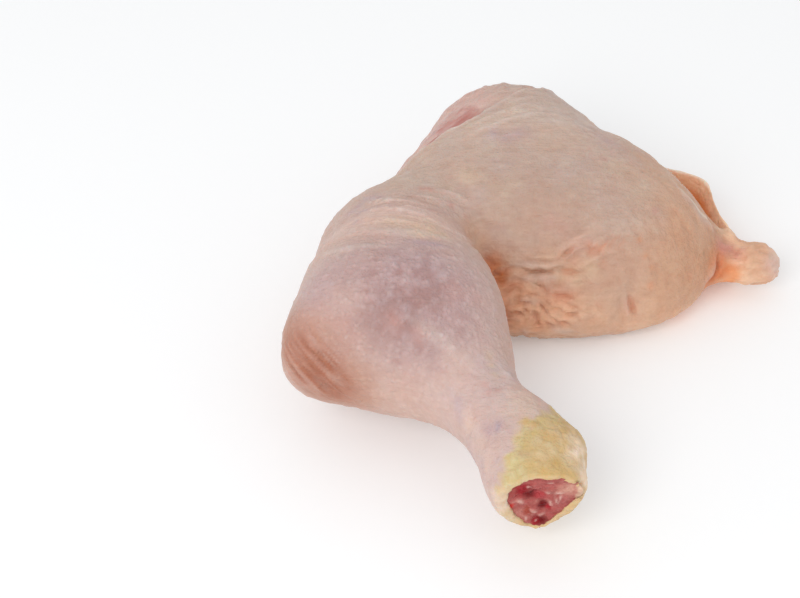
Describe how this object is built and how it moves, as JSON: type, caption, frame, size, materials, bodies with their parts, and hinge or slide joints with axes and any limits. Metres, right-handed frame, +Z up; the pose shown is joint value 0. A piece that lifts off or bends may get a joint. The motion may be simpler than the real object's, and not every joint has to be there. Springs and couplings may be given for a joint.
{
  "type": "raw chicken leg",
  "caption": "Raw chicken leg lying on its inner side: drumstick and thigh in one pale skin, with a fold of back skin, the tail end, and bone and sinew at the cut hock.",
  "frame": {"origin": "on the surface the leg lies on, under the middle of its box", "axes": "+Z up, +Y from the cut hock towards the top of the thigh, +X towards the tail end"},
  "size_m": [0.1406, 0.1746, 0.0538],
  "materials": {
    "skin": "moist raw poultry skin, pale pink to peach, yellow at the hock",
    "bone_and_sinew": "wet cut end of bone, cartilage and sinew"
  },
  "bodies": {
    "root": {"leg": "skin", "shin_bone": "bone_and_sinew"}
  },
  "joints": []
}
